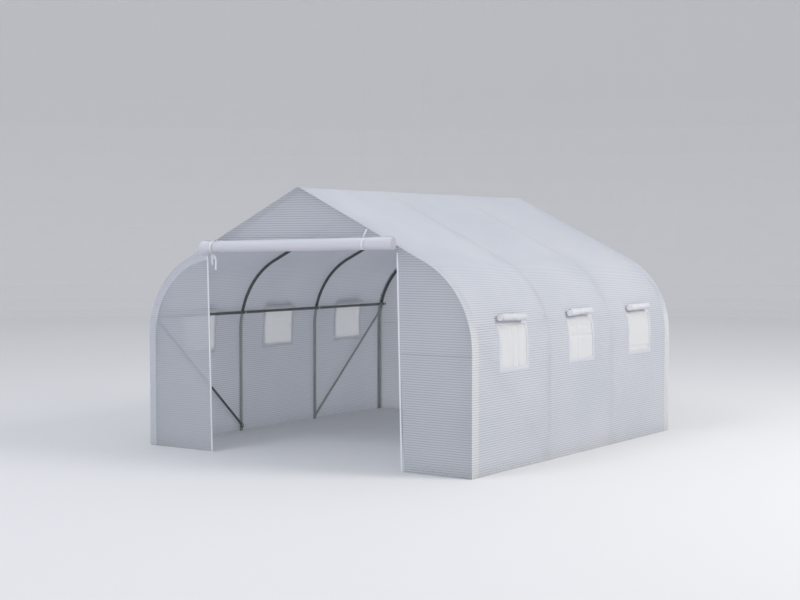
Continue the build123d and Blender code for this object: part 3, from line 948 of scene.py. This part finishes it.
# Windows: netting in each opening, and a doubled border round it
def hangWindow(sideName, side, number, middle):
    folds, crossFolds = window["folds"][number - 1], window["crossFolds"][number - 1]
    middleRun = side * (sillRun + headRun) / 2
    height = sillRun - headRun
    netSize = (window["width"] + window["netLap"], height + window["netLap"])
    net = flatSheet(f"window_net_{sideName}_{number}", *window["netGrid"], *netSize)

    def netPoint(x, y):
        fold = sum(
            depth * exp(-((at - spot) / window["foldWidth"]) ** 2)
            for at, parts in ((x, folds), (side * y, crossFolds)) for spot, depth in parts
        )
        return coverPoint(middleRun + y, middle + x, -window["netInset"] - fold)

    hangSheet(net, netPoint, window["netThickness"], flipped=True)
    dress(net, windowNetting, [f"{sideName}_window_screens"])
    borderSize = (window["width"] + window["borderLap"], height + window["borderLap"])
    border = flatSheet(f"window_border_{sideName}_{number}", *window["borderGrid"], *borderSize)
    innerX, innerY = window["width"] / 2 - window["border"], height / 2 - window["border"]
    for edge in (-1, 1):
        cutAcross((edge * innerX, 0, 0), (1, 0, 0))
        cutAcross((0, edge * innerY, 0), (0, 1, 0))
    cutOpening(border, lambda centre: abs(centre.x) < innerX and abs(centre.y) < innerY)
    hangSheet(
        border, lambda x, y: coverPoint(middleRun + y, middle + x, hemBand["lift"]), hemBand["thickness"],
        flipped=True, mapShift=(middle - middleY, middleRun),
    )
    dress(border, films["border"])


for windowPlace in windowPlaces:
    hangWindow(*windowPlace)


# Rolled film: a flat sheet wound up from its lower edge, squeezed where a strap holds it.
# A roll's girth, its depth and its height change along it
roll = {
    "discShare": 0.9,
    "discSides": 28,
    "discThickness": 0.001,
    "discGap": 0.0015,
    "lumpReach": 1.2,
    "pleatsRound": 4,
    "pleatsAlong": 90,
}


def rollShape(look, x):
    girth, depth, rise = (
        sum(share * exp(-((x - spot) / wide) ** 2) for spot, share, wide in look[part])
        for part in ("squeezes", "flattened", "drooped")
    )
    return 1 - girth, 1 - depth, look["tilt"] * x - rise


def tuckEnds(name, middle, width, radius, look):
    discs = []
    for end in (-1, 1):
        wayOut = Vector((0, end, 0)) if look["alongY"] else Vector((end, 0, 0))
        disc = startPiece(
            name, bpy.ops.mesh.primitive_circle_add, vertices=roll["discSides"],
            radius=radius * roll["discShare"], fill_type="NGON",
        )
        for inset, depth in look["endSteps"]:
            bpy.ops.mesh.inset(thickness=radius * inset, depth=radius * depth)
        clearSelection()
        drawMap(disc.data, lambda spot: spot.xy)
        along = end * (width / 2 + roll["discGap"])
        girth, depth, rise = rollShape(look, along)
        spot = Vector(middle) + Vector((0, 0, rise)) + wayOut * abs(along)
        disc.data.transform(seatOn(spot, wayOut) @ Matrix.Diagonal((girth * depth, girth, 1, 1)))
        applyModifier(disc, "SOLIDIFY", thickness=roll["discThickness"], offset=-1)
        discs.append(disc)
    rollEnds = joinPieces(*discs)
    dress(rollEnds, look["endFilm"], smoothAngle=30)
    return rollEnds


def windSheet(name, middle, width, radius, look, side, node):
    core, flatLength = look["core"], look["flatLength"]
    pitch = pi * (radius**2 - core**2) / flatLength
    turns = (radius - core) / pitch
    sheet = flatSheet(name, look["columns"], round(turns * look["facets"]), width, flatLength)

    def place(x, y):
        share = 0.5 - y / flatLength   # from the core out to the loose edge
        spread = sqrt(core**2 + share * (radius**2 - core**2))
        turn = look["startTurn"] + 2 * pi * (spread - radius) / pitch
        girth, depth, rise = rollShape(look, x)
        reach = roll["lumpReach"]
        lumpSpot = (reach * cos(turn), reach * sin(turn) + look["seed"])
        lump = noise.noise(Vector((x * look["lumpScale"], *lumpSpot)))
        pleat = sum(
            share * exp(-((x - spot) / wide) ** 2)
            * sin(roll["pleatsRound"] * turn + roll["pleatsAlong"] * (x - spot))
            for spot, share, wide in look["pleats"]
        )
        spread *= girth * (1 + look["lump"] * lump + pleat)
        out, up = spread * cos(turn) * depth, spread * sin(turn) + rise
        return Vector(middle) + Vector((side * out, x, up) if look["alongY"] else (x, out, up))

    hangSheet(sheet, place, look["thickness"])
    recalculate(sheet)
    dress(sheet, look["film"], [node], smoothAngle=50)
    rollEnds = tuckEnds(f"{name}_ends", middle, width, radius, look)


low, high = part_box("door_roll")
rollMiddle = (low + high) / 2
rollRadius = (high.z - low.z) / 2
strapSpots = [-0.775, 0.645]
doorRoll = {
    "core": 0.006, "facets": 26, "columns": 60, "thickness": 0.0018, "alongY": False,
    "startTurn": radians(80),
    "squeezes": [(strapSpots[0], 0.13, 0.035), (strapSpots[1], 0.05, 0.03), (-0.87, -0.25, 0.05)],
    "flattened": [(0.877, 0.3, 0.10)],
    "drooped": [(-0.877, 0.010, 0.06)],
    "pleats": [
        (strapSpots[0] - 0.03, 0.07, 0.05), (strapSpots[0] + 0.06, 0.05, 0.04),
        (strapSpots[1], 0.02, 0.04),
    ],
    "lump": 0.03, "lumpScale": 3.0, "seed": 0.4,
    "tilt": 0.0166,        # it hangs lower at the left strap
    "looseEnd": 0.012,     # the film is wound a little past the core at the right
    "flatLength": 1.6,
    "film": films["doorRoll"], "endFilm": films["shadedDoorRollEnd"], "endSteps": [(0.1, 0.02), (0.5, -0.03)],
}
looseEnd = doorRoll["looseEnd"]
windSheet(
    "door_rolled_up", rollMiddle + Vector((looseEnd / 2, 0, 0)), high.x - low.x + looseEnd, rollRadius,
    doorRoll, 1, "door_roll",
)

flapRoll = {
    "shorter": 0.05,     # than the solid, nearer to the photograph
    "lift": 0.007,       # the loose rolls sit a little high
    "slimmer": 0.97,
    "flatLength": 0.4,
    "tilts": {"left": [0.01, -0.02, 0.015], "right": [-0.03, 0.012, 0.01]},
    "core": 0.004, "facets": 22, "columns": 36, "thickness": 0.002, "alongY": True,
    "startTurn": radians(200), "flattened": [], "drooped": [], "lump": 0.16, "lumpScale": 11.0,
    "film": films["flapRoll"], "endFilm": films["litFlapRollEnd"],
    "endSteps": [(0.12, 0.14), (0.16, -0.1), (0.3, 0.02)],
}
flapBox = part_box("right_window_rolls")
flapMiddle = (flapBox[0] + flapBox[1]) / 2
flapRadius = (flapBox[1].z - flapBox[0].z) / 2
flapStep = windowMiddles[-1] - windowMiddles[0]
flapLength = flapBox[1].y - flapBox[0].y - flapStep - flapRoll["shorter"]
flapShift = (flapBox[0].y + flapBox[1].y) / 2 - windowMiddles[1]
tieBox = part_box("right_window_ties")
tieShift = (tieBox[0].y + tieBox[1].y) / 2 - windowMiddles[1]
tieSpot = tieShift - flapShift
flapHeight = flapMiddle.z + flapRoll["lift"]
for sideName, side, number, middle in windowPlaces:
    look = {
        **flapRoll, "seed": 3.7 * number + side, "tilt": flapRoll["tilts"][sideName][number - 1],
        "squeezes": [(tieSpot, 0.2, 0.022)], "pleats": [(tieSpot, 0.04, 0.03)],
    }
    windSheet(
        f"window_flap_{sideName}_{number}", (side * flapMiddle.x, middle + flapShift, flapHeight),
        flapLength, flapRadius * flapRoll["slimmer"], look, side, f"{sideName}_window_rolls",
    )
print("rolls wound")


# Straps: webbing cut as a flat strip and led along a line of points
strap = {
    "width": 0.016,
    "thickness": 0.001,
    "steps": 24,
    "rows": 80,
    "pinch": 0.97,        # of the roll's radius
    "tiePinch": 0.84,
    "ringTurn": radians(-300),
    "ringLean": (0.009, 0, 0),
    "belowEdge": 0.006,   # its upper end under the roof's edge
    "beside": 0.01,       # the outer corner of that end
    "aboveRoll": 0.045,   # where it leaves the gable
}


def drawStrap(name, webbing, points, across, node):
    runs = [0.0]
    for last, point in zip(points, points[1:]):
        runs.append(runs[-1] + (point - last).length)
    strip = flatSheet(name, 2, strap["rows"], strap["width"], runs[-1])

    def place(x, y):
        run = min(max(y + runs[-1] / 2, 0), runs[-1])
        stage = max(number for number in range(len(points) - 1) if runs[number] <= run + 1e-9)
        share = (run - runs[stage]) / (runs[stage + 1] - runs[stage])
        return points[stage].lerp(points[stage + 1], share) + Vector(across) * x

    hangSheet(strip, place, strap["thickness"])
    recalculate(strip)
    dress(strip, webbing, [node], smoothAngle=50)


def ringPoints(centre, radius, startTurn, fullTurn, out, lean=(0, 0, 0)):
    return [
        centre + radius * (out * cos(turn) + Vector((0, 0, 1)) * sin(turn)) + Vector(lean) * sin(turn)
        for turn in (startTurn + fullTurn * step / strap["steps"] for step in range(strap["steps"] + 1))
    ]


def rollSpot(x):
    return Vector((x, rollMiddle.y, rollMiddle.z + doorRoll["tilt"] * x))


strapRadius = rollRadius * strap["pinch"]
roofEdge = crownEnd.y + crownEnd.x * tan(slope) - strap["belowEdge"]
wallY = frontY - cover["thickness"]
doorStraps = {   # on the roll, and the upper and lower ends of its run on the gable
    "left": (strapSpots[0], -0.79, -0.787),
    "right": (strapSpots[1], 0.622, 0.592),
}
for sideName, (spot, topSpot, lowSpot) in doorStraps.items():
    top = roofEdge - (abs(topSpot) + strap["beside"]) * tan(slope)
    centre = rollSpot(spot)
    points = [Vector((topSpot, wallY, top)), Vector((lowSpot, wallY, centre.z + strap["aboveRoll"]))]
    points += ringPoints(
        centre, strapRadius, radians(60), strap["ringTurn"], Vector((0, 1, 0)), strap["ringLean"]
    )
    drawStrap(f"door_strap_{sideName}", strapWebbing, points, (1, 0, 0), "door_straps")

# The left strap is tied in a bow under the roll, and its two ends hang down
knot = rollSpot(strapSpots[0] - 0.016) + Vector((0, 0.012, -strapRadius - 0.004))
bowLines = {
    "bow_loop": [
        (0, 0), (-0.012, -0.012), (-0.016, -0.034), (-0.004, -0.046), (0.012, -0.036), (0.012, -0.014),
        (0.002, -0.002),
    ],
    "bow_end_short": [(0, -0.002), (-0.012, -0.03), (-0.016, -0.06), (-0.012, -0.088)],
    "bow_end_long": [(0.002, -0.002), (0.018, -0.02), (0.024, -0.06), (0.021, -0.1), (0.026, -0.126)],
}
for name, line in bowLines.items():
    points = [knot + Vector((x, 0.004 * sin(z * 60), z)) for x, z in line]
    drawStrap(f"door_{name}", strapWebbing, points, (0.6, 0.5, 0), "door_straps")

for sideName, side, number, middle in windowPlaces:
    rise = flapRoll["tilts"][sideName][number - 1] * tieSpot
    centre = Vector((side * flapMiddle.x, middle + tieShift, flapHeight + rise))
    tieRadius, startTurn = flapRadius * strap["tiePinch"], flapRoll["startTurn"]
    points = ringPoints(centre, tieRadius, startTurn, 2 * pi, Vector((side, 0, 0)))
    node = f"{sideName}_window_ties"
    drawStrap(f"window_tie_{sideName}_{number}", tieWebbing, points, (0, 1, 0), node)


# Welts: rounded sewn edges down both sides of the doorway
welt = {"width": 0.013, "depth": 0.0065, "roundness": 0.0026, "inwards": 0.002}
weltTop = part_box("door_welts")[1].z
for sideName, side in sideSigns.items():
    edgeX = side * doorHalf + doorLean
    piece = startPiece(
        f"door_welt_{sideName}", bpy.ops.mesh.primitive_plane_add, size=1,
        location=(edgeX - side * welt["inwards"], frontY, 0),
    )
    bpy.ops.transform.resize(value=(welt["width"], welt["depth"], 1), center_override=(edgeX, frontY, 0))
    pull((-doorLean * weltTop / doorHeight, 0, weltTop))
    bpy.ops.mesh.select_all(action="SELECT")
    bpy.ops.mesh.bevel(offset=welt["roundness"], segments=3, affect="EDGES")
    recalculate(piece)
    drawMap(piece.data, lambda spot: (spot.x + spot.y, spot.z))
    dress(piece, weltPiping, ["door_welts"])
print("straps and welts done")


# Stage: a pale floor that curves up into a backdrop all round, soft light, and the camera
stage = {"floorRadius": 19.0, "bend": 5.0, "height": 9.0, "steps": 12, "sides": 96}
backdrop = startPiece(
    "floor_and_backdrop", bpy.ops.mesh.primitive_circle_add, vertices=stage["sides"],
    radius=stage["floorRadius"], fill_type="NGON",
)
bpy.ops.mesh.select_mode(type="EDGE")
bpy.ops.mesh.select_all(action="SELECT")
bpy.ops.mesh.region_to_loop()
lastTurn, lastRadius = 0, stage["floorRadius"]
for step in range(1, stage["steps"] + 1):
    turn = pi / 2 * step / stage["steps"]
    radius = stage["floorRadius"] + stage["bend"] * sin(turn)
    rise = stage["bend"] * (cos(lastTurn) - cos(turn))
    bpy.ops.mesh.extrude_edges_move(TRANSFORM_OT_translate={"value": (0, 0, rise)})
    wider = radius / lastRadius
    bpy.ops.transform.resize(value=(wider, wider, 1), center_override=(0, 0, 0))
    lastTurn, lastRadius = turn, radius
bpy.ops.mesh.extrude_edges_move(TRANSFORM_OT_translate={"value": (0, 0, stage["height"] - stage["bend"])})
clearSelection()
floorPaint, paintTree, paint = newMaterial("floorPaint")[:3]
setInputs(paintTree, paint, {"Base Color": (0.74, 0.74, 0.74, 1), "Roughness": 0.9})
backdrop.data.materials.append(floorPaint)

studio = {
    "low": (0.76, 0.78, 0.82, 1),
    "high": (0.93, 0.96, 1.03, 1),
    "strength": 0.78,
    # place, target, size, power and colour of each light
    "sideLight": ((10.5, 2.0, 7.0), (0, 0, 0.8), 5.0, 740, (1.0, 0.975, 0.94)),
    "frontLight": ((-1.5, -9.5, 10.5), (0, -1.0, 1.0), 5.0, 325, (0.90, 0.95, 1.04)),
}
world = bpy.data.worlds.new("studio")
bpy.context.scene.world = world
world.use_nodes = True
skyTree = world.node_tree
skyCoords = addNode(skyTree, "ShaderNodeTexCoord")
skyAxes = addNode(skyTree, "ShaderNodeSeparateXYZ", {0: skyCoords.outputs["Generated"]})
skyShare = smoothStep(skyTree, skyAxes.outputs["Z"], 0.05, 0.8)
skyColour = mixColour(skyTree, skyShare, studio["low"], studio["high"])
setInputs(skyTree, skyTree.nodes["Background"], {"Color": skyColour, "Strength": studio["strength"]})


def addSoftLight(name, place, target, size, power, colour):
    light = bpy.data.lights.new(name, "AREA")
    light.shape = "DISK"
    light.size = size
    light.energy = power
    light.color = colour
    lamp = bpy.data.objects.new(name, light)
    bpy.context.scene.collection.objects.link(lamp)
    lamp.location = place
    lamp.rotation_euler = (Vector(target) - Vector(place)).to_track_quat("-Z", "Y").to_euler()


for name in ("sideLight", "frontLight"):
    addSoftLight(name, *studio[name])

view = {"lens": 65.564, "place": (6.6877, -9.8483, 1.608), "down": 2.2887, "turn": 34.7944}
lens = bpy.data.cameras.new("camera")
lens.lens = view["lens"]
lens.sensor_width = 36
camera = bpy.data.objects.new("camera", lens)
bpy.context.scene.collection.objects.link(camera)
camera.location = view["place"]
camera.rotation_euler = (radians(90 - view["down"]), 0, radians(view["turn"]))
bpy.context.scene.camera = camera

bpy.context.scene.view_settings.view_transform = "Standard"
bpy.context.scene.cycles.transparent_max_bounces = 16
